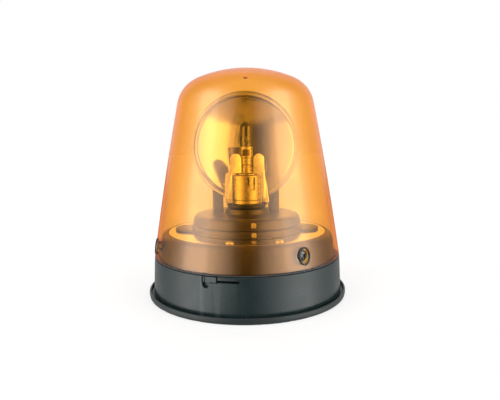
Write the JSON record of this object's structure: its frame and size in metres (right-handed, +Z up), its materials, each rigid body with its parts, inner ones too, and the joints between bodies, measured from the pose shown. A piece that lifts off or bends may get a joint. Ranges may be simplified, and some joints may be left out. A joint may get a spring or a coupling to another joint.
{
  "type": "rotating warning beacon",
  "caption": "Rotating halogen warning beacon: amber tapered dome, capsule bulb in a sprung socket, deep reflector on a geared turntable, twist-lock black base.",
  "frame": {"origin": "centre of the round mounting face under the rubber gasket", "axes": "+Z up along the spindle, -Y to the front, where the release latch is left of centre"},
  "size_m": [0.166, 0.166, 0.185],
  "materials": {
    "rubber": "matt black rubber",
    "black_abs": "satin black moulded ABS",
    "brass": "turned",
    "ceramic": "off-white steatite",
    "grey_plastic": "satin dark moulded plastic",
    "zinc_steel": "zinc plated steel",
    "amber": "clear amber polycarbonate, gloss",
    "copper": "enamelled copper winding",
    "board_green": "solder mask",
    "nylon": "natural nylon",
    "film_blue": "moulded box",
    "nickel": "bright nickel plate",
    "glass": "quartz",
    "tungsten": "drawn wire",
    "chrome": "mirror"
  },
  "bodies": {
    "base": {"base_housing": "black_abs", "mounting_gasket": "rubber", "mounting_insert_1": "brass", "mounting_insert_2": "brass", "mounting_insert_3": "brass", "cable_grommet": "rubber", "terminal_block": "ceramic"},
    "latch": {"latch_tongue": "black_abs"},
    "head": {"collar": "grey_plastic", "deck_plate": "zinc_steel", "deck_screw_1": "zinc_steel", "deck_screw_2": "zinc_steel", "deck_screw_3": "zinc_steel", "deck_screw_4": "zinc_steel", "dome_lens": "amber", "dome_seal": "rubber", "dome_screw_1": "zinc_steel", "dome_screw_2": "zinc_steel", "dome_screw_3": "zinc_steel", "centre_post": "zinc_steel", "brush_holder": "ceramic", "contact_brush": "copper", "thrust_washer": "brass", "retaining_ring": "zinc_steel", "gear_cover": "grey_plastic", "gear_axle": "zinc_steel", "motor_can": "zinc_steel", "motor_end_cap": "black_abs", "motor_screw_1": "zinc_steel", "motor_screw_2": "zinc_steel", "circuit_board": "board_green", "board_standoff_1": "nylon", "board_standoff_2": "nylon", "suppressor_choke": "copper", "suppressor_capacitor": "film_blue"},
    "clip_left": {"bulb_clip_left": "nickel"},
    "clip_right": {"bulb_clip_right": "nickel"},
    "rotor": {"turntable": "grey_plastic", "bearing_bush": "brass", "ring_gear": "nylon", "reflector_dish": "chrome", "reflector_post_left": "grey_plastic", "reflector_post_right": "grey_plastic", "socket_base": "black_abs", "lamp_socket": "nickel", "socket_insulator": "ceramic", "centre_contact": "brass", "bulb_flange": "nickel", "bulb_base": "nickel", "bulb_collar": "nickel", "bulb_glass": "glass", "filament": "tungsten", "filament_lead_1": "tungsten", "filament_lead_2": "tungsten", "clip_pin_left": "zinc_steel", "clip_pin_right": "zinc_steel"},
    "intermediate": {"intermediate_gear": "nylon"},
    "pinion": {"motor_pinion": "brass", "motor_shaft": "zinc_steel"}
  },
  "joints": [
    {"name": "head_twist", "type": "hinge", "parent": "base", "child": "head", "pos_m": [0, 0, 0.0319], "axis": [0, 0, 1], "range_deg": [0, 11]},
    {"name": "latch_press", "type": "hinge", "parent": "base", "child": "latch", "pos_m": [-0.02506, -0.07037, 0.0095], "axis": [0.9421, -0.3355, 0], "range_deg": [-5, 0], "stiffness_Nm_per_rad": 0.4},
    {"name": "rotor_spin", "type": "hinge", "parent": "head", "child": "rotor", "pos_m": [0, 0, 0.0644], "axis": [0, 0, 1], "continuous": true},
    {"name": "intermediate_spin", "type": "hinge", "parent": "head", "child": "intermediate", "pos_m": [0, 0.0252, 0.06], "axis": [0, 0, 1], "continuous": true},
    {"name": "pinion_spin", "type": "hinge", "parent": "head", "child": "pinion", "pos_m": [0.0175, 0.0252, 0.05], "axis": [0, 0, 1], "continuous": true},
    {"name": "clip_left_open", "type": "hinge", "parent": "rotor", "child": "clip_left", "pos_m": [-0.01483, -0.00757, 0.0774], "axis": [-0.1908, 0.9816, 0], "range_deg": [-5, 0], "stiffness_Nm_per_rad": 0.6},
    {"name": "clip_right_open", "type": "hinge", "parent": "rotor", "child": "clip_right", "pos_m": [0.01658, -0.00146, 0.0774], "axis": [-0.1908, 0.9816, 0], "range_deg": [0, 5], "stiffness_Nm_per_rad": 0.6}
  ],
  "couplings": [
    {"joint": "intermediate_spin", "follows": "rotor_spin", "ratio": -5},
    {"joint": "pinion_spin", "follows": "rotor_spin", "ratio": 20}
  ]
}
